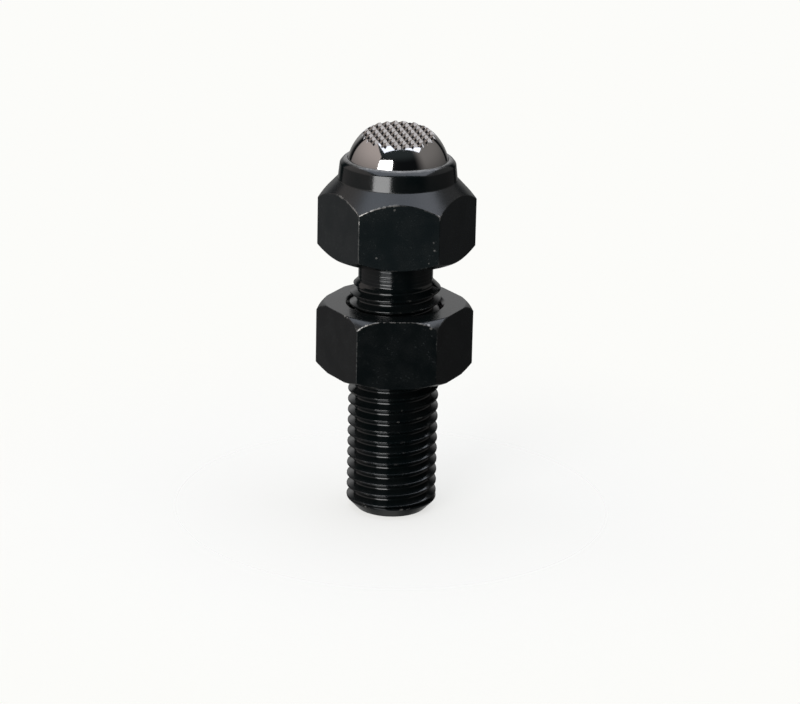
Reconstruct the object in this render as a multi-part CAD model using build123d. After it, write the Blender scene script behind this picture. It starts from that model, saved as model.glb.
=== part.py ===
from build123d import *
from math import cos, floor, radians, sin, sqrt, tan
import os

# Positioning screw: a turned steel stud whose hexagon head carries a swivelling ball in a rolled
# socket, with a hexagon lock nut on the shank. Millimetres, +Z up the screw axis, origin at the
# centre of the shank's end face, one pair of hexagon flats facing -Y and +Y.

# Shank
thread_diameter = 16.0
end_face_radius = 6.2
end_chamfer_height = 1.9
thread_top = 41.2
runout_height = 0.9
neck_diameter = 13.1
neck_flare = 0.7

# Hexagon head, with a shallow cone below its corners and a steep one above them. The cones are
# turned on a round blank that is wider than the corners.
across_flats = 24.0
blank_radius = 15.0
head_bottom = 47.2
head_foot_radius = 11.8
head_foot_slope = 34.5
shoulder_height = 60.7
shoulder_radius = 10.4
shoulder_slope = 46.6

# Collar that is rolled in over the ball, which leaves its lip bevelled
collar_height = 63.4
collar_radius = 10.1
lip_height = 64.3
lip_outer_radius = 9.2

# Ball, its socket and the serrated grip face
ball_radius = 9.0
ball_height = 62.0
socket_clearance = 0.05
seat_angle = 100.0
seat_floor = 52.6
mouth_height = 65.0
grip_face_height = 6.95
rest_tilt = 8.0
tilt_limit = 9.0
serration_pitch = 1.5
serration_depth = 0.6
serration_angle = 16.5
serration_phase = (0.3, 0.13)

# Dowel in the socket floor and the flared recess that it stands in
pin_diameter = 3.0
pin_length = 8.0
pin_foot = 49.0
pin_end_chamfer = 0.4
pin_hole_floor = 48.8
drill_point_angle = 118.0
recess_gap = 0.2
recess_floor_gap = 0.6

# Lock nut
nut_bottom = 25.95
nut_height = 12.25
nut_bore_radius = 8.05
nut_top_radius = 12.2
nut_top_slope = 44.0
nut_foot_radius = 12.2
nut_foot_slope = 31.0
countersink_radius = 8.8


def turned(points):
    """Solid of revolution about Z from a closed outline of (radius, height) points."""
    outline = Plane.XZ * make_face(Polyline(*points, close=True))
    return revolve(outline, Axis.Z)


def hexagon_prism(bottom, top):
    """Hexagonal bar with two of its flats facing -Y and +Y."""
    outline = RegularPolygon(across_flats / 2, side_count=6, major_radius=False)
    return extrude(Pos(0, 0, bottom) * outline, top - bottom)


def chamfered_hexagon(bottom, top, foot, crown):
    """Hexagon whose corners are turned off by a cone at each end, each given as (radius, slope)."""
    foot_radius, foot_slope = foot
    crown_radius, crown_slope = crown
    foot_rise = (blank_radius - foot_radius) * tan(radians(foot_slope))
    crown_fall = (blank_radius - crown_radius) * tan(radians(crown_slope))
    cones = turned(
        [
            (0, bottom),
            (foot_radius, bottom),
            (blank_radius, bottom + foot_rise),
            (blank_radius, top - crown_fall),
            (crown_radius, top),
            (0, top),
        ]
    )
    return hexagon_prism(bottom, top) & cones


def shank():
    """Plain bar at the thread's outer diameter, necked down below the head."""
    thread_radius = thread_diameter / 2
    neck_radius = neck_diameter / 2
    return turned(
        [
            (0, 0),
            (end_face_radius, 0),
            (thread_radius, end_chamfer_height),
            (thread_radius, thread_top - runout_height),
            (neck_radius, thread_top),
            (neck_radius, head_bottom - neck_flare),
            (neck_radius + neck_flare, head_bottom),
            (0, head_bottom),
        ]
    )


def collar():
    """Tapered wall of the socket, closed in to the bevelled lip."""
    return turned(
        [
            (0, shoulder_height),
            (shoulder_radius, shoulder_height),
            (collar_radius, collar_height),
            (lip_outer_radius, lip_height),
            (0, lip_height),
        ]
    )


def socket():
    """Space for the ball: a conical seat, a straight bore up to the ball's middle and a round mouth."""
    bore_radius = ball_radius + socket_clearance
    seat_slope = radians(seat_angle / 2)
    contact_radius = bore_radius * cos(seat_slope)
    contact_height = ball_height - bore_radius * sin(seat_slope)
    floor_radius = contact_radius - (contact_height - seat_floor) * tan(seat_slope)
    seat_top = contact_height + (bore_radius - contact_radius) / tan(seat_slope)
    seat = [(0, seat_floor), (floor_radius, seat_floor), (bore_radius, seat_top)]
    wall = Polyline(*seat, (bore_radius, ball_height))

    def mouth(height):
        return sqrt(bore_radius**2 - (height - ball_height) ** 2), height

    middle = (ball_height + mouth_height) / 2
    roof = ThreePointArc(wall @ 1, mouth(middle), mouth(mouth_height))
    closing = Polyline(roof @ 1, (0, mouth_height), (0, seat_floor))
    outline = Plane.XZ * make_face(wall + roof + closing)
    return revolve(outline, Axis.Z)


def pin_hole():
    """Drilled hole for the dowel, from its pointed floor up into the socket."""
    radius = pin_diameter / 2
    point = radius / tan(radians(drill_point_angle / 2))
    return turned(
        [
            (0, pin_hole_floor - point),
            (radius, pin_hole_floor),
            (radius, seat_floor + pin_diameter),
            (0, seat_floor + pin_diameter),
        ]
    )


def stud_body():
    foot = (head_foot_radius, head_foot_slope)
    crown = (shoulder_radius, shoulder_slope)
    blank = shank() + chamfered_hexagon(head_bottom, shoulder_height, foot, crown) + collar()
    return blank - socket() - pin_hole()


def vee_groove():
    """Cutter for one serration groove along Y: a right-angled vee with its root at the groove's floor."""
    rise = ball_radius - grip_face_height + serration_depth
    root = grip_face_height - serration_depth
    section = Plane.XZ * make_face(
        Polyline((0, root), (rise, root + rise), (-rise, root + rise), close=True)
    )
    return extrude(section, ball_radius, both=True)


def grooves(phase):
    """Row of parallel grooves across the grip face, the pitch apart."""
    count = floor(ball_radius / serration_pitch)
    places = [(step + phase) * serration_pitch for step in range(-count, count + 1)]
    reach = sqrt(ball_radius**2 - (grip_face_height - serration_depth) ** 2)
    return [Pos(place, 0, 0) * vee_groove() for place in places if abs(place) < reach]


def pin_recess():
    """Flared recess under the ball. At the tilt limit its wall comes up to the dowel's side."""
    flare = radians(tilt_limit)

    def wall(depth):
        return pin_diameter / 2 / cos(flare) + depth * tan(flare) + recess_gap

    floor_depth = ball_height - pin_foot - pin_length - recess_floor_gap
    return turned(
        [
            (0, -floor_depth),
            (wall(floor_depth), -floor_depth),
            (wall(ball_radius), -ball_radius),
            (0, -ball_radius),
        ]
    )


def pivot_ball():
    above_grip_face = Pos(0, 0, grip_face_height) * Box(
        2 * ball_radius, 2 * ball_radius, 2 * ball_radius, align=(Align.CENTER, Align.CENTER, Align.MIN)
    )
    ball = Sphere(ball_radius) - above_grip_face - pin_recess()
    first, second = serration_phase
    ball -= [Rot(0, 0, serration_angle) * groove for groove in grooves(first)]
    ball -= [Rot(0, 0, serration_angle + 90) * groove for groove in grooves(second)]
    return Pos(0, 0, ball_height) * Rot(rest_tilt, 0, 0) * ball


def stop_pin():
    dowel = Cylinder(pin_diameter / 2, pin_length, align=(Align.CENTER, Align.CENTER, Align.MIN))
    dowel = chamfer(dowel.edges().filter_by(GeomType.CIRCLE), pin_end_chamfer)
    return Pos(0, 0, pin_foot) * dowel


def lock_nut():
    top = nut_bottom + nut_height
    foot = (nut_foot_radius, nut_foot_slope)
    crown = (nut_top_radius, nut_top_slope)
    sink = countersink_radius - nut_bore_radius
    bore = turned(
        [
            (0, nut_bottom),
            (countersink_radius, nut_bottom),
            (nut_bore_radius, nut_bottom + sink),
            (nut_bore_radius, top - sink),
            (countersink_radius, top),
            (0, top),
        ]
    )
    return chamfered_hexagon(nut_bottom, top, foot, crown) - bore


nodes = {
    "stud_body": stud_body(),
    "pivot_ball": pivot_ball(),
    "stop_pin": stop_pin(),
    "lock_nut": lock_nut(),
}

os.makedirs("parts", exist_ok=True)
for name, solid in nodes.items():
    export_step(solid, f"parts/{name}.step")
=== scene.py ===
from math import atan2, cos, pi, radians, sin, sqrt, tan

import bpy
from mathutils import Euler, Matrix, Vector


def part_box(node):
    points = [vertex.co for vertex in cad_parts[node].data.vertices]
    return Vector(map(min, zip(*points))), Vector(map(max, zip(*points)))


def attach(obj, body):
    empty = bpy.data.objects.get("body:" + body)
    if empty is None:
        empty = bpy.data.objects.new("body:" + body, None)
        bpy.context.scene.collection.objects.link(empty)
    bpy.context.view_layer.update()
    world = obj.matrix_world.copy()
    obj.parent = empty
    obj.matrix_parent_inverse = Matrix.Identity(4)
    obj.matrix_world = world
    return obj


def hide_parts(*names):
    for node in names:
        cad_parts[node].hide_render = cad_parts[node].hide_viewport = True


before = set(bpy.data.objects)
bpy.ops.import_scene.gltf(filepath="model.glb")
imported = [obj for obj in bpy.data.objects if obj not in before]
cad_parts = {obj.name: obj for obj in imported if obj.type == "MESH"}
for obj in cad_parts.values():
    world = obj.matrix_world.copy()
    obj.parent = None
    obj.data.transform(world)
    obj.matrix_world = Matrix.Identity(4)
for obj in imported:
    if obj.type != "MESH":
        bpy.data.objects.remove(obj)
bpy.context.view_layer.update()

# Positioning screw: a blackened steel stud with a hexagon head, a polished swivel ball with a
# serrated face in the rolled collar, and a lock nut on the thread. Metres, +Z up the screw axis,
# the origin in the middle of the shank's end face, one pair of hexagon flats square to Y.

MM = 0.001

# Fineness of the meshes, and how near to each other points are taken for one
SIDES = 144
BALL_SIDES = 192
BALL_RINGS = 96
ARC_STEPS = 8
ROOT_STEPS = 6
ON_PLANE = 1e-7
SAME_POINT = 0.0001 * MM
CLOSE_POINTS = 0.002 * MM
MILLED_POINTS = 0.02 * MM

# Sizes that the solids already hold
nut_low, nut_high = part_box("lock_nut")
flat_distance = nut_high.y
nut_bottom = nut_low.z
nut_top = nut_high.z
lip_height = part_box("stud_body")[1].z
pin_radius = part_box("stop_pin")[1].x

# Shank and thread
thread_radius = 8.0 * MM
thread_pitch = 2.0 * MM
thread_root_radius = 6.77 * MM
root_rounding = 0.30 * MM
crest_rounding = 0.10 * MM
thread_start_angle = radians(-14)
end_face_radius = 6.2 * MM
end_chamfer_height = 1.9 * MM
thread_foot = 2.15 * MM
thread_top = 42.4 * MM
runout_height = 1.4 * MM
thread_turns = 21
neck_radius = 6.55 * MM
neck_flare = 0.7 * MM

# Head, shoulder and collar
blank_radius = 14.6 * MM
head_bottom = 47.2 * MM
head_foot_radius = 11.8 * MM
head_foot_slope = radians(34.5)
shoulder_height = 60.7 * MM
shoulder_radius = 10.4 * MM
shoulder_slope = radians(46.6)
collar_height = 63.4 * MM
collar_radius = 10.1 * MM
lip_outer_radius = 9.2 * MM
lip_turn = (9.62 * MM, 64.0 * MM)

# Socket, its seat and the hole for the pin
ball_radius = 9.0 * MM
ball_height = 62.0 * MM
socket_radius = 9.05 * MM
seat_slope = radians(50)
seat_floor = 52.6 * MM
pin_hole_floor = 48.8 * MM
drill_point = 0.9 * MM
drill_tip_radius = 0.02 * MM

# Ball and its serrated face
ball_tilt = radians(8.0)
face_height = 6.95 * MM
tooth_pitch = 1.5 * MM
tooth_depth = 0.6 * MM
tooth_angle = radians(16.5)
tooth_phase = (0.3, 0.13)
bar_half_width = 0.49 * tooth_pitch
bar_length = 2.2 * ball_radius
recess_depth = 4.4 * MM
recess_floor_radius = 2.42 * MM
recess_mouth_radius = 3.15 * MM

# Lock nut
nut_bore_radius = 8.05 * MM
nut_root_radius = 8.6 * MM
nut_groove_half_width = 0.42 * thread_pitch
nut_groove_clearance = 0.4 * MM
nut_groove_lead_in = 1.5 * thread_pitch
nut_groove_turns = 10
nut_countersink = 8.8 * MM
nut_top_radius = 12.3 * MM
nut_crown_rounding = 3.7 * MM
nut_crown_start = radians(30)
nut_crown_end = radians(12)
nut_foot_radius = 12.2 * MM
nut_foot_slope = radians(31.0)

# Edges. The hexagons are milled once before the edges are rounded and once after it. The second cut
# is the shallower one, but both lie just inside the solids' flats. The nut's end faces are trimmed
# just outside the solids'.
edge_rounding = 0.13 * MM
edge_segments = 2
sharp_edge = radians(22)
smooth_edge = radians(24)
rough_flat_depth = 0.004 * MM
finished_flat_depth = 0.002 * MM
nut_end_excess = 0.002 * MM


def select_nothing():
    if bpy.context.object and bpy.context.object.mode != "OBJECT":
        bpy.ops.object.mode_set(mode="OBJECT")
    bpy.ops.object.select_all(action="DESELECT")


def make_active(piece):
    select_nothing()
    piece.select_set(True)
    bpy.context.view_layer.objects.active = piece


def edit(piece):
    make_active(piece)
    bpy.ops.object.mode_set(mode="EDIT")
    bpy.ops.mesh.select_all(action="SELECT")


def done():
    bpy.ops.object.mode_set(mode="OBJECT")


def settle(piece):
    """Puts the piece's place into its mesh, so that the object sits at the origin."""
    make_active(piece)
    bpy.ops.object.transform_apply(location=True, rotation=True, scale=True)


def modify(piece, kind, **settings):
    """Adds one modifier and applies it."""
    make_active(piece)
    modifier = piece.modifiers.new(kind.title(), kind)
    for name, value in settings.items():
        setattr(modifier, name, value)
    bpy.ops.object.modifier_apply(modifier=modifier.name)


def cut(piece, cutter):
    """Takes the cutter's space out of the piece."""
    modify(piece, "BOOLEAN", operation="DIFFERENCE", solver="EXACT", object=cutter)
    bpy.data.objects.remove(cutter)


def join_close(piece):
    edit(piece)
    bpy.ops.mesh.remove_doubles(threshold=CLOSE_POINTS)
    done()


def split_faces(piece):
    """Splits the faces into triangles. Many-sided ones fold where the next row of grooves crosses them."""
    edit(piece)
    bpy.ops.mesh.quads_convert_to_tris(ngon_method="BEAUTY")
    done()


def turned(name, stations, hollow=False):
    """Solid turned about Z: a disc drawn out from one (radius, height) station to the next.
    A hollow one starts as a ring, and its last station closes on the first."""
    (radius, height), *rest = stations
    select_nothing()
    bpy.ops.mesh.primitive_circle_add(
        vertices=SIDES, radius=radius, fill_type="NOTHING" if hollow else "NGON", location=(0, 0, height)
    )
    piece = bpy.context.object
    piece.name = name
    settle(piece)
    edit(piece)
    for next_radius, next_height in rest:
        rise = (0, 0, next_height - height)
        bpy.ops.mesh.extrude_region_move(TRANSFORM_OT_translate={"value": rise})
        grow = next_radius / radius
        bpy.ops.transform.resize(value=(grow, grow, 1), center_override=(0, 0, next_height))
        radius, height = next_radius, next_height
    if hollow:
        bpy.ops.mesh.select_all(action="SELECT")
        bpy.ops.mesh.remove_doubles(threshold=SAME_POINT)
    bpy.ops.mesh.select_all(action="SELECT")
    bpy.ops.mesh.normals_make_consistent(inside=False)
    done()
    return piece


def mill_hexagon(piece, depth):
    """Cuts the six flats, one pair of them square to Y, the depth inside the solids' flats."""
    for side in range(6):
        angle = radians(30 + 60 * side)
        outward = Vector((cos(angle), sin(angle), 0))
        edit(piece)
        bpy.ops.mesh.bisect(
            plane_co=outward * (flat_distance - depth),
            plane_no=outward,
            use_fill=True,
            clear_outer=True,
            threshold=ON_PLANE,
        )
        done()
    edit(piece)
    bpy.ops.mesh.remove_doubles(threshold=MILLED_POINTS)
    done()


def face_off(piece, height, up):
    """Cuts off what stands above the height, or under it."""
    edit(piece)
    bpy.ops.mesh.bisect(
        plane_co=(0, 0, height), plane_no=(0, 0, up), use_fill=True, clear_outer=True, threshold=ON_PLANE
    )
    done()


def soften(piece):
    """Rounds every sharp edge."""
    modify(
        piece,
        "BEVEL",
        width=edge_rounding,
        segments=edge_segments,
        limit_method="ANGLE",
        angle_limit=sharp_edge,
        use_clamp_overlap=False,
    )


def smooth(piece):
    make_active(piece)
    bpy.ops.object.shade_smooth_by_angle(angle=smooth_edge)


def outline(name, points):
    """Closed outline in the XZ plane, drawn point by point from a single corner."""
    select_nothing()
    bpy.ops.mesh.primitive_plane_add(size=MM, location=(0, 0, 0))
    piece = bpy.context.object
    piece.name = name
    edit(piece)
    bpy.ops.mesh.merge(type="CENTER")
    (x, z), *rest = points
    bpy.ops.transform.translate(value=(x, 0, z))
    for next_x, next_z in rest:
        bpy.ops.mesh.extrude_vertices_move(TRANSFORM_OT_translate={"value": (next_x - x, 0, next_z - z)})
        x, z = next_x, next_z
    bpy.ops.mesh.select_all(action="SELECT")
    bpy.ops.mesh.edge_face_add()
    bpy.ops.mesh.delete(type="ONLY_FACE")
    done()
    return piece


def wound(name, points, bottom, turns, start_angle):
    """Bar with the given section, wound upwards round Z as a right-hand thread."""
    piece = outline(name, [(x, z + bottom) for x, z in points])
    modify(
        piece,
        "SCREW",
        axis="Z",
        angle=2 * pi,
        screw_offset=thread_pitch,
        iterations=turns,
        steps=SIDES // 2,
        render_steps=SIDES // 2,
        use_merge_vertices=False,
        use_normal_calculate=False,
        use_smooth_shade=False,
    )
    edit(piece)
    bpy.ops.mesh.remove_doubles(threshold=SAME_POINT)
    bpy.ops.mesh.select_all(action="DESELECT")
    bpy.ops.mesh.select_non_manifold()
    bpy.ops.mesh.fill_holes(sides=0)
    bpy.ops.mesh.select_all(action="SELECT")
    bpy.ops.mesh.normals_make_consistent(inside=False)
    done()
    piece.rotation_euler = Euler((0, 0, start_angle))
    settle(piece)
    return piece


def arc(centre, radius, start, end, steps):
    """Points along an arc in the XZ plane, angles from +X towards +Z."""
    angles = [start + (end - start) * step / steps for step in range(steps + 1)]
    return [(centre[0] + radius * cos(angle), centre[1] + radius * sin(angle)) for angle in angles]


def thread_groove():
    """Section of the groove between two crests: a rounded root, 60 degree flanks and eased crests."""
    root_centre = (thread_root_radius + root_rounding, 0)
    root = arc(root_centre, root_rounding, radians(240), radians(120), ROOT_STEPS)
    crest_half_width = 7 / 16 * thread_pitch
    ease = crest_rounding * tan(radians(30))
    flank_end = (thread_radius - ease * cos(radians(30)), crest_half_width - ease * sin(radians(30)))
    bulge = 0.18 * ease
    middle = (thread_radius - bulge, crest_half_width + bulge)
    crest = (thread_radius, crest_half_width + ease)
    clear = (thread_radius + 0.02 * MM, crest_half_width + ease + 0.03 * MM)
    outside = (thread_radius + 0.5 * MM, clear[1])
    upper = [flank_end, middle, crest, clear, outside]
    lower = [(x, -z) for x, z in reversed(upper)]
    return lower + root + upper


def stud():
    mouth_angle = atan2(lip_height - ball_height, sqrt(socket_radius**2 - (lip_height - ball_height) ** 2))
    mouth = arc((0, ball_height), socket_radius, mouth_angle, 0, ARC_STEPS)
    contact_radius = socket_radius * cos(seat_slope)
    contact_height = ball_height - socket_radius * sin(seat_slope)
    seat_floor_radius = contact_radius - (contact_height - seat_floor) * tan(seat_slope)
    seat_top = contact_height + (socket_radius - contact_radius) / tan(seat_slope)
    piece = turned(
        "stud",
        [
            (end_face_radius, 0),
            (thread_radius, end_chamfer_height),
            (thread_radius, thread_top - runout_height),
            (neck_radius, thread_top),
            (neck_radius, head_bottom - neck_flare),
            (neck_radius + neck_flare, head_bottom),
            (head_foot_radius, head_bottom),
            (blank_radius, head_bottom + (blank_radius - head_foot_radius) * tan(head_foot_slope)),
            (blank_radius, shoulder_height - (blank_radius - shoulder_radius) * tan(shoulder_slope)),
            (shoulder_radius, shoulder_height),
            (collar_radius, collar_height),
            lip_turn,
            (lip_outer_radius, lip_height),
            *mouth,
            (socket_radius, seat_top),
            (seat_floor_radius, seat_floor),
            (pin_radius, seat_floor),
            (pin_radius, pin_hole_floor),
            (drill_tip_radius, pin_hole_floor - drill_point),
        ],
    )
    mill_hexagon(piece, rough_flat_depth)
    soften(piece)
    mill_hexagon(piece, finished_flat_depth)
    groove = wound("groove", thread_groove(), 0, thread_turns, thread_start_angle)
    face_off(groove, thread_foot, -1)
    cut(piece, groove)
    join_close(piece)
    smooth(piece)
    modify(piece, "WEIGHTED_NORMAL", keep_sharp=True)
    return piece


def nut_crown_centre():
    return (
        nut_top_radius - nut_crown_rounding * sin(nut_crown_start),
        nut_top - nut_crown_rounding * cos(nut_crown_start),
    )


def nut():
    sink = nut_countersink - nut_bore_radius
    crown = arc(nut_crown_centre(), nut_crown_rounding, nut_crown_end, pi / 2 - nut_crown_start, ARC_STEPS)
    piece = turned(
        "nut",
        [
            (nut_countersink, nut_bottom),
            (nut_foot_radius, nut_bottom),
            (crown[0][0], nut_bottom + (crown[0][0] - nut_foot_radius) * tan(nut_foot_slope)),
            *crown,
            (nut_countersink, nut_top),
            (nut_bore_radius, nut_top - sink),
            (nut_bore_radius, nut_bottom + sink),
            (nut_countersink, nut_bottom),
        ],
        hollow=True,
    )
    mill_hexagon(piece, rough_flat_depth)
    soften(piece)
    mill_hexagon(piece, finished_flat_depth)
    face_off(piece, nut_top + nut_end_excess, 1)
    face_off(piece, nut_bottom - nut_end_excess, -1)
    half = nut_groove_half_width
    clear = nut_bore_radius - nut_groove_clearance
    section = [
        (clear, -half),
        (nut_bore_radius, -half),
        (nut_root_radius, -half / 3),
        (nut_root_radius, half / 3),
        (nut_bore_radius, half),
        (clear, half),
    ]
    groove_foot = nut_bottom - nut_groove_lead_in
    groove = wound("inner_groove", section, groove_foot, nut_groove_turns, thread_start_angle)
    cut(piece, groove)
    join_close(piece)
    smooth(piece)
    modify(piece, "WEIGHTED_NORMAL", keep_sharp=True)
    return piece


def ball():
    select_nothing()
    bpy.ops.mesh.primitive_uv_sphere_add(segments=BALL_SIDES, ring_count=BALL_RINGS, radius=ball_radius)
    piece = bpy.context.object
    piece.name = "ball"
    face_off(piece, face_height, 1)
    smooth(piece)
    recess = [(recess_floor_radius, -recess_depth), (recess_mouth_radius, -ball_radius)]
    cut(piece, turned("recess", recess))
    for turn, phase in zip((tooth_angle, tooth_angle + pi / 2), tooth_phase):
        split_faces(piece)
        cut(piece, groove_row(turn, phase))
    split_faces(piece)
    piece.rotation_euler = Euler((ball_tilt, 0, 0))
    piece.location = (0, 0, ball_height)
    settle(piece)
    return piece


def groove_row(turn, phase):
    """Row of four-sided bars that lie on an edge, which leaves right-angled grooves a pitch apart."""
    count = int(ball_radius / tooth_pitch)
    bars = []
    for step in range(-count, count + 1):
        place = (step + phase) * tooth_pitch
        select_nothing()
        bpy.ops.mesh.primitive_cylinder_add(
            vertices=4,
            radius=bar_half_width,
            depth=bar_length,
            rotation=(pi / 2, 0, 0),
            location=(place, 0, face_height - tooth_depth + bar_half_width),
        )
        bars.append(bpy.context.object)
    select_nothing()
    for bar in bars:
        bar.select_set(True)
    bpy.context.view_layer.objects.active = bars[0]
    bpy.ops.object.join()
    row = bpy.context.object
    settle(row)
    row.rotation_euler = Euler((0, 0, turn))
    settle(row)
    return row


stud_piece = stud()
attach(stud_piece, "stud")
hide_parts("stud_body")

nut_piece = nut()
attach(nut_piece, "nut")
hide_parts("lock_nut")

ball_piece = ball()
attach(ball_piece, "ball")
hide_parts("pivot_ball")


# Tones of the finishes in linear light. A pair is what a cloudy pattern goes between.
turned_oxide = ((0.0022, 0.0042, 0.0045), (0.0048, 0.0062, 0.0064))
head_flat_oxide = ((0.0060, 0.0092, 0.0100), (0.0095, 0.0125, 0.0130))
nut_flat_oxide = ((0.0026, 0.0042, 0.0045), (0.0056, 0.0072, 0.0074))
oxide_speck = (0.04, 0.045, 0.045)
bare_steel = (0.44, 0.425, 0.40)
polished_steel = (0.60, 0.585, 0.57)
cut_steel = (0.52, 0.475, 0.43)
# Painted shade: near black base colour for the pits where the ball's grooves cross
groove_crossing_shade = (0.015, 0.015, 0.015)
ground_steel = ((0.42, 0.42, 0.43), (0.55, 0.55, 0.56))
oxide_ior = 1.58
oxide_roughness = 0.13
polished_roughness = 0.05
ground_roughness = 0.22
oxide_grain_depth = 0.005 * MM
cut_grain_depth = 0.004 * MM
ground_grain_depth = 0.002 * MM

# Wear. Each rub and nick is its middle and its reach in millimetres, and its share of bare steel.
edge_wear_reach = 0.13 * MM
wear_wander = 0.6 * MM
crest_wear_depth = 0.10 * MM
worn_end = (3.6 * MM, 2.4 * MM)
turning_pitch = 0.16 * MM
neck_line_pitch = 0.35 * MM
head_rubs = [
    ((-6.4, -12.0, 57.4), 2.6, 1.0),
    ((-3.0, -12.0, 58.8), 3.6, 0.4),
    ((-9.2, -8.2, 58.4), 3.6, 0.3),
    ((6.9, -12.0, 57.3), 1.0, 0.7),
    ((-6.93, -12.0, 53.0), 5.5, 0.14),
]
head_nicks = [
    ((-7.9, -10.3, 57.97), 0.22, 0.7),
    ((-0.89, -12.0, 58.26), 0.2, 0.25),
    ((6.1, -12.0, 51.1), 0.2, 0.6),
    ((5.9, -12.0, 52.5), 0.22, 0.2),
    ((5.16, -12.0, 48.84), 0.18, 0.3),
    ((-3.79, -12.0, 49.67), 0.2, 0.3),
    ((0.66, -7.97, 18.38), 0.3, 0.7),
]
nut_rubs = [
    ((-5.7, -12.0, 37.4), 1.9, 0.6),
    ((-1.0, -12.0, 38.2), 4.6, 0.5),
    ((4.2, -12.0, 38.1), 1.2, 0.4),
    ((-6.93, -12.0, 32.0), 5.5, 0.12),
]
nut_nicks = [
    ((-5.39, -12.0, 37.6), 0.26, 0.8),
    ((-9.0, -8.41, 38.15), 0.28, 0.6),
    ((-8.6, -9.1, 38.0), 0.2, 0.4),
    ((5.46, -11.9, 37.75), 0.36, 0.7),
    ((5.82, -12.0, 37.2), 0.34, 0.5),
    ((4.9, -11.8, 38.1), 0.25, 0.4),
]


class Value:
    """One socket of a node tree. Python's operators on it add Math nodes."""

    def __init__(self, shader, socket):
        self.shader = shader
        self.socket = socket

    def math(self, operation, *others):
        inputs = dict(enumerate((self, *others)))
        return self.shader.node("ShaderNodeMath", {"operation": operation}, inputs)

    def __add__(self, other):
        return self.math("ADD", other)

    def __sub__(self, other):
        return self.math("SUBTRACT", other)

    def __rsub__(self, other):
        return self.shader.node("ShaderNodeMath", {"operation": "SUBTRACT"}, {0: other, 1: self})

    def __mul__(self, other):
        return self.math("MULTIPLY", other)

    def __truediv__(self, other):
        return self.math("DIVIDE", other)

    def __pow__(self, other):
        return self.math("POWER", other)

    def __abs__(self):
        return self.math("ABSOLUTE")

    __radd__ = __add__
    __rmul__ = __mul__

    def least(self, other):
        return self.math("MINIMUM", other)

    def most(self, other):
        return self.math("MAXIMUM", other)

    def rise(self, low, high):
        """0 up to low, 1 from high, with a smooth step between. A high below low gives the reverse."""
        return self.shader.node(
            "ShaderNodeMapRange",
            {"interpolation_type": "SMOOTHSTEP"},
            {"Value": self, "From Min": low, "From Max": high},
        )


class Shader:
    """A node tree in the making. Every node comes from its one method."""

    def __init__(self, owner):
        owner.use_nodes = True
        self.tree = owner.node_tree
        self.tree.nodes.clear()

    def node(self, kind, settings=None, inputs=None, output=0):
        made = self.tree.nodes.new(kind)
        for name, value in (settings or {}).items():
            setattr(made, name, value)
        for name, value in (inputs or {}).items():
            if isinstance(value, Value):
                self.tree.links.new(value.socket, made.inputs[name])
            else:
                made.inputs[name].default_value = value
        return Value(self, made.outputs[output]) if made.outputs else None

    def blend(self, share, first, second):
        """Colour that goes from the first to the second as the share goes from 0 to 1."""
        first, second = [c if isinstance(c, Value) else (*c, 1) for c in (first, second)]
        return self.node(
            "ShaderNodeMix", {"data_type": "RGBA"}, {0: share, 6: first, 7: second}, output=2
        )

    def place(self):
        return self.node("ShaderNodeTexCoord", output=3)

    def axes(self, vector):
        split = self.node("ShaderNodeSeparateXYZ", inputs={0: vector})
        node = split.socket.node
        return [Value(self, socket) for socket in node.outputs]

    def noise(self, vector, size, detail=3.0, roughness=0.5):
        """Cloudy pattern with features of about the given size in metres."""
        return self.node(
            "ShaderNodeTexNoise",
            inputs={"Vector": vector, "Scale": 1 / size, "Detail": detail, "Roughness": roughness},
        )

    def distance(self, place, centre):
        ends = {0: place, 1: centre}
        return self.node("ShaderNodeVectorMath", {"operation": "DISTANCE"}, ends, output=1)

    def bump(self, height, depth):
        return self.node("ShaderNodeBump", inputs={"Height": height, "Distance": depth, "Strength": 1.0})

    def surface(self, **inputs):
        """Principled surface as the material's finish. An input's underscores stand for spaces."""
        named = {name.replace("_", " "): value for name, value in inputs.items()}
        shade = self.node("ShaderNodeBsdfPrincipled", inputs=named)
        self.node("ShaderNodeOutputMaterial", inputs={"Surface": shade})


def edge_distance(faces):
    """Distance from the nearest edge. Where two faces meet, the depths below both are small."""
    nearest = None
    for step, first in enumerate(faces):
        for second in faces[step + 1 :]:
            pair = first.most(second)
            nearest = nearest.least(pair) if nearest else pair
    return nearest


def hexagon_wear(shader, place, faces, ragged, rubs, nicks):
    """Bare steel on the hexagon's rubbed edges and in its nicks."""
    wander = (0.5 - ragged) * wear_wander
    worn = (edge_distance(faces) + wander).rise(edge_wear_reach, 0.03 * MM)
    strength = shader.noise(place, 3 * MM, detail=2).rise(0.45, 0.7) * 0.1
    for centre, reach, share in rubs:
        near = shader.distance(place, [v * MM for v in centre])
        strength = strength.most(near.rise(reach * MM, reach * 0.5 * MM) * share)
    wear = worn * strength
    for centre, reach, share in nicks:
        near = shader.distance(place, [v * MM for v in centre]) - wander
        wear = wear.most(near.rise(reach * MM, reach * 0.4 * MM) * share)
    return wear


def crest_wear(shader, place, radius, z):
    """Scuffs along the thread's crests, stronger at its lower end."""
    at_crest = radius.rise(thread_radius - crest_wear_depth, thread_radius - 0.03 * MM)
    crest = at_crest * (1 - radius.rise(8.1 * MM, 8.2 * MM))
    scuffs = shader.noise(place, 2 * MM, detail=4, roughness=0.6).rise(0.56, 0.7)
    return crest * scuffs * (0.1 + z.rise(*worn_end) * 0.6)


def lip_wear(radius, z, ragged):
    """Burnish on the lip, from where it was rolled in over the ball."""
    turn_radius, turn_height = lip_turn
    rolled = radius.rise(turn_radius + 0.1 * MM, lip_outer_radius)
    return rolled * z.rise(turn_height - 0.1 * MM, turn_height) * (0.12 + ragged.rise(0.3, 0.7) * 0.36)


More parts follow.
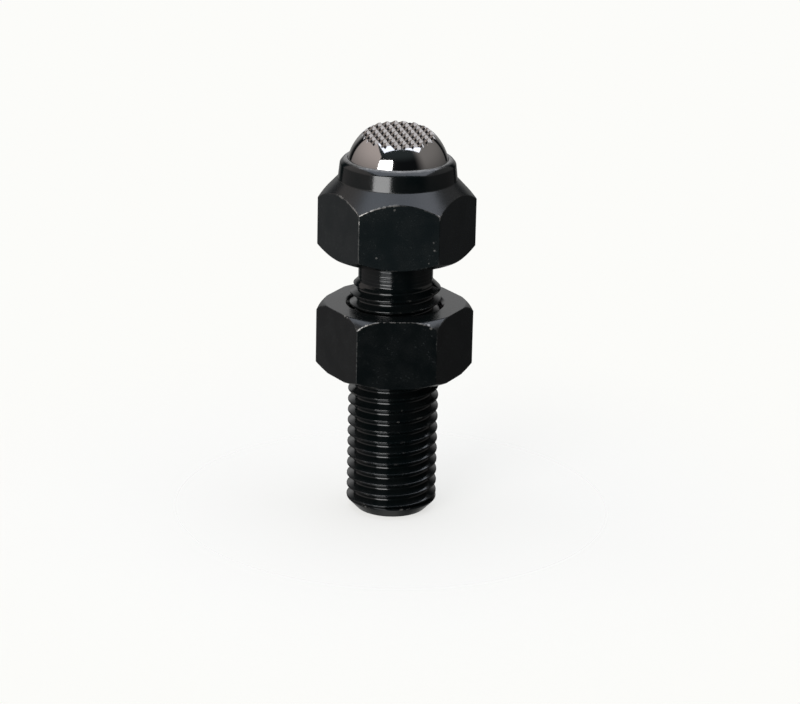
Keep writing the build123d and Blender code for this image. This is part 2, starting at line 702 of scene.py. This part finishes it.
def tool_marks(shader, radius, z, clouds, flat_face):
    """Fine turning marks, and coarser ones round the neck."""
    turning = ((radius + z + (clouds - 0.5) * 0.1 * MM) * (2 * pi / turning_pitch)).math("SINE")
    neck = z.rise(thread_top - 0.5 * MM, thread_top) * (1 - z.rise(head_bottom - neck_flare, head_bottom))
    height = shader.node("ShaderNodeCombineXYZ", inputs={"Z": z})
    lines = shader.noise(height, neck_line_pitch, detail=2)
    return turning * (1 - flat_face) * 0.12 + lines * neck * 18


def blackened(name, crown, foot, flat_oxide, rubs, nicks):
    """Black oxide on turned and milled steel. Crown and foot give the depth below the two turned ends
    of the hexagon, rubs are places where the edges are rubbed, and nicks are bare spots."""
    material = bpy.data.materials.new(name)
    shader = Shader(material)
    place = shader.place()
    x, y, z = shader.axes(place)
    radius = (x * x + y * y).math("SQRT")
    clouds = shader.noise(place, 4 * MM, detail=4)
    grain = shader.noise(place, 0.25 * MM, detail=3)
    ragged = shader.noise(place, 0.6 * MM, detail=4, roughness=0.65)

    flats = [
        flat_distance - abs(x * cos(radians(angle)) + y * sin(radians(angle))) for angle in (30, 90, 150)
    ]
    faces = [*flats, crown(radius, z), foot(radius, z)]
    wear = hexagon_wear(shader, place, faces, ragged, rubs, nicks)
    wear = wear.most(crest_wear(shader, place, radius, z))
    wear = wear.most(lip_wear(radius, z, ragged))

    flat_face = flats[0].least(flats[1]).least(flats[2]).rise(0.03 * MM, 0.01 * MM)
    cone_face = abs(crown(radius, z)).rise(0.09 * MM, 0.05 * MM) * (1 - flat_face)
    patches = clouds.rise(0.35, 0.65)
    oxide = shader.blend(flat_face, shader.blend(patches, *turned_oxide), shader.blend(patches, *flat_oxide))
    specks = shader.noise(place, 0.35 * MM, detail=2, roughness=0.7).rise(0.62, 0.72) * clouds.rise(0.4, 0.6)
    oxide = shader.blend(specks * (0.2 + flat_face * 0.5), oxide, oxide_speck)
    height = grain + tool_marks(shader, radius, z, clouds, flat_face)
    shader.surface(
        Base_Color=shader.blend(wear, oxide, bare_steel),
        Metallic=wear,
        Roughness=oxide_roughness + (clouds - 0.5) * 0.08 + wear * 0.2 + flat_face * 0.06 + cone_face * 0.13,
        IOR=oxide_ior,
        Normal=shader.bump(height, oxide_grain_depth),
    )
    return material


def bright(name):
    """Polished ball whose grooves are cut through the polish, with painted shade darkening them where they
    cross.
    """
    material = bpy.data.materials.new(name)
    shader = Shader(material)
    place = shader.place()
    middle = (0, 0, ball_height)
    cut_face = shader.distance(place, middle).rise(ball_radius - 0.01 * MM, ball_radius - 0.03 * MM)
    clouds = shader.noise(place, 3 * MM, detail=3)
    grain = shader.noise(place, 0.12 * MM, detail=3)

    inside = shader.node("ShaderNodeVectorMath", {"operation": "SUBTRACT"}, {0: place, 1: middle})
    turned_back = (-ball_tilt, 0, -tooth_angle)
    rows = shader.node("ShaderNodeMapping", inputs={"Vector": inside, "Rotation": turned_back})
    # Painted shade: the base colour goes nearly black round each crossing of two grooves, standing in for
    # the shade deep in the pits
    crossing_shade = cut_face
    for along, phase in zip(shader.axes(rows), tooth_phase):
        step = (along / tooth_pitch - phase + 0.5).math("FRACT")
        crossing_shade = crossing_shade * abs(step - 0.5).rise(0.34, 0.2)
    steel = shader.blend(cut_face, polished_steel, cut_steel)
    shader.surface(
        Base_Color=shader.blend(crossing_shade, steel, groove_crossing_shade),
        Metallic=1.0,
        Roughness=polished_roughness + clouds * 0.03 + cut_face * 0.33,
        Normal=shader.bump(grain * (0.05 + cut_face * 0.95), cut_grain_depth),
    )
    return material


def ground(name):
    """Ground dowel steel."""
    material = bpy.data.materials.new(name)
    shader = Shader(material)
    place = shader.place()
    clouds = shader.noise(place, 1.5 * MM, detail=4)
    grain = shader.noise(place, 0.1 * MM, detail=2)
    shader.surface(
        Base_Color=shader.blend(clouds, *ground_steel),
        Metallic=1.0,
        Roughness=ground_roughness + clouds * 0.12,
        Normal=shader.bump(grain, ground_grain_depth),
    )
    return material


def dress(piece, material):
    piece.data.materials.clear()
    piece.data.materials.append(material)


def cone_depth(edge_radius, edge_height, slope, downwards):
    """Depth below a turned cone that starts at the given edge of an end face."""

    def depth(radius, z):
        along = (edge_height - z) if downwards else (z - edge_height)
        return along * cos(slope) - (radius - edge_radius) * sin(slope)

    return depth


def crown_depth(radius, z):
    """Depth below the nut's top face or its rounded crown, whichever is nearer."""
    centre_radius, centre_height = nut_crown_centre()
    above = (z - centre_height).most(0)
    rounding = nut_crown_rounding - ((radius - centre_radius) ** 2 + above**2).math("SQRT")
    return rounding.least(nut_top - z)


head_crown = cone_depth(shoulder_radius, shoulder_height, shoulder_slope, True)
head_foot = cone_depth(head_foot_radius, head_bottom, head_foot_slope, False)
nut_foot = cone_depth(nut_foot_radius, nut_bottom, nut_foot_slope, False)
dress(stud_piece, blackened("black_steel", head_crown, head_foot, head_flat_oxide, head_rubs, head_nicks))
dress(nut_piece, blackened("nut_steel", crown_depth, nut_foot, nut_flat_oxide, nut_rubs, nut_nicks))
dress(ball_piece, bright("bright_ball"))
dress(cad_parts["stop_pin"], ground("dowel_steel"))


# Camera, in the place from which the screw was pictured
image_width = 800
focal_pixels = 3012
sensor_width = 36.0
camera_distance = 531.9 * MM
camera_elevation = radians(18.53)
camera_turn = radians(2.3)
camera_roll = radians(1.261)
camera_aim = Vector((1.054, -0.015, 28.835)) * MM


def add_camera():
    level_ahead = Vector((sin(camera_turn), cos(camera_turn), 0))
    ahead = level_ahead * cos(camera_elevation) - Vector((0, 0, sin(camera_elevation)))
    level = Vector((cos(camera_turn), -sin(camera_turn), 0))
    upright = level.cross(ahead)
    side = level * cos(camera_roll) + upright * sin(camera_roll)
    up = upright * cos(camera_roll) - level * sin(camera_roll)
    camera = bpy.data.objects.new("camera", bpy.data.cameras.new("camera"))
    bpy.context.collection.objects.link(camera)
    turn = Matrix((side, up, -ahead)).transposed().to_4x4()
    camera.matrix_world = Matrix.Translation(camera_aim - ahead * camera_distance) @ turn
    camera.data.sensor_width = sensor_width
    camera.data.lens = sensor_width * focal_pixels / image_width
    camera.data.clip_start = 0.01
    camera.data.clip_end = 10
    bpy.context.scene.camera = camera


def softbox(name, centre, facing, width, height, radiance, colour=(1, 1, 1)):
    """Rectangular lamp that faces the given direction, its height upright or along +Y."""
    lamp = bpy.data.lights.new(name, "AREA")
    lamp.shape = "RECTANGLE"
    lamp.size = width
    lamp.size_y = height
    lamp.energy = radiance * pi * width * height
    lamp.color = colour
    holder = bpy.data.objects.new(name, lamp)
    bpy.context.collection.objects.link(holder)
    holder.location = centre
    holder.rotation_euler = facing.to_track_quat("-Z", "Y").to_euler()
    holder.visible_camera = False
    return holder


def compass(azimuth):
    """Level direction; 0 is towards the front, 90 towards +X."""
    return Vector((sin(radians(azimuth)), -cos(radians(azimuth)), 0))


# Lamps, found from their reflections on the ball: size, radiance, and the key lamp's place seen from
# the ball, as its distance outwards, along its face and up
key_lamp_azimuth = -15
key_lamp_offset = (0.5, -0.171, 0.134)
key_lamp_size = (0.33, 0.433)
key_lamp_radiance = 5.8
top_lamp_centre = Vector((0.04, 0.035, 0.562))
top_lamp_size = (0.83, 0.62)
top_lamp_radiance = 1.75
top_lamp_colour = (0.91, 0.97, 1.10)
top_lamp_turn = radians(6)


def add_lamps():
    outward = compass(key_lamp_azimuth)
    along = compass(key_lamp_azimuth + 90)
    out, sideways, up = key_lamp_offset
    centre = outward * out + along * sideways + Vector((0, 0, ball_height + up))
    softbox("key_lamp", centre, -outward, *key_lamp_size, key_lamp_radiance)
    down = Vector((0, 0, -1))
    top = softbox("top_lamp", top_lamp_centre, down, *top_lamp_size, top_lamp_radiance, top_lamp_colour)
    top.rotation_euler = Euler((0, 0, top_lamp_turn))


# Panels round the screw, from their reflections: each starts and ends over a stretch of turns, in
# degrees from the front and positive to the right. Pairs of tones go from low to high, between two
# heights of the direction that is looked in, 1 being straight up.
left_panel_edges = ((-136, -133), (-49, -51))
left_panel_slope = (-0.968 * 1.34, 0.250 * 1.34)
left_panel_top_edge = (0.02, -0.02)
left_panel_heights = (-0.4, 0.75)
left_panel_tones = ((0.13, 0.12, 0.12), (0.56, 0.50, 0.48))
right_panel_edges = ((40, 70), (138, 136))
right_panel_heights = (-0.4, 0.6)
right_panel_tones = ((0.04, 0.04, 0.04), (0.235, 0.225, 0.22))
glow_edges = ((-50, -47), (-15, -18))
glow_top_edge = (-0.10, -0.14)
glow_tone = (0.78, 0.80, 0.82)
backdrop_edge = (143, 165)
backdrop_heights = (-0.05, 0.25)
backdrop_tones = ((0.26, 0.26, 0.255), (0.62, 0.62, 0.62))
room_heights = (0.5, 0.75)
room_tones = ((0.006, 0.007, 0.008), (0.028, 0.035, 0.037))
white_paper = (0.973, 0.973, 0.95)


def within(turn, edges):
    start, end = edges
    return turn.rise(*start) * turn.rise(*end)


def add_world():
    world = bpy.data.worlds.new("studio")
    bpy.context.scene.world = world
    shader = Shader(world)
    direction = shader.node("ShaderNodeTexCoord", output=0)
    x, y, z = shader.axes(direction)
    turn = x.math("ARCTAN2", 0 - y) * (180 / pi)
    panel_top = x * left_panel_slope[0] + y * left_panel_slope[1]
    left = within(turn, left_panel_edges) * (z - panel_top).rise(*left_panel_top_edge)
    glow = within(turn, glow_edges) * z.rise(*glow_top_edge)
    colour = shader.blend(z.rise(*room_heights), *room_tones)
    backdrop = shader.blend(z.rise(*backdrop_heights), *backdrop_tones)
    colour = shader.blend(abs(turn).rise(*backdrop_edge), colour, backdrop)
    left_panel = shader.blend(z.rise(*left_panel_heights), *left_panel_tones)
    colour = shader.blend(left, colour, left_panel)
    colour = shader.blend(glow, colour, glow_tone)
    right_panel = shader.blend(z.rise(*right_panel_heights), *right_panel_tones)
    colour = shader.blend(within(turn, right_panel_edges), colour, right_panel)
    seen_by_camera = shader.node("ShaderNodeLightPath")
    colour = shader.blend(seen_by_camera, colour, white_paper)
    light = shader.node("ShaderNodeBackground", inputs={"Color": colour, "Strength": 1.0})
    shader.node("ShaderNodeOutputWorld", inputs={"Surface": light})


floor_radius = 0.2
floor_paper = (0.98, 0.96, 0.93, 1)
floor_fade = (0.02, 0.10)
floor_cover = 0.3


def add_floor():
    """Sheet of white paper that is partly clear near the screw, where it holds the shadow, and
    quite clear further out, so that its rim isn't seen."""
    select_nothing()
    bpy.ops.mesh.primitive_circle_add(vertices=96, radius=floor_radius, fill_type="NGON")
    floor = bpy.context.object
    floor.name = "floor"
    material = bpy.data.materials.new("floor")
    shader = Shader(material)
    x, y, z = shader.axes(shader.place())
    away = (x * x + y * y).math("SQRT")
    paper = shader.node("ShaderNodeBsdfDiffuse", inputs={"Color": floor_paper})
    clear = shader.node("ShaderNodeBsdfTransparent")
    see_through = away.rise(*floor_fade) * floor_cover + (1 - floor_cover)
    mixed = shader.node("ShaderNodeMixShader", inputs={0: see_through, 1: paper, 2: clear})
    shader.node("ShaderNodeOutputMaterial", inputs={"Surface": mixed})
    dress(floor, material)
    floor.visible_glossy = False


add_camera()
add_lamps()
add_world()
add_floor()
bpy.context.scene.view_settings.view_transform = "Standard"
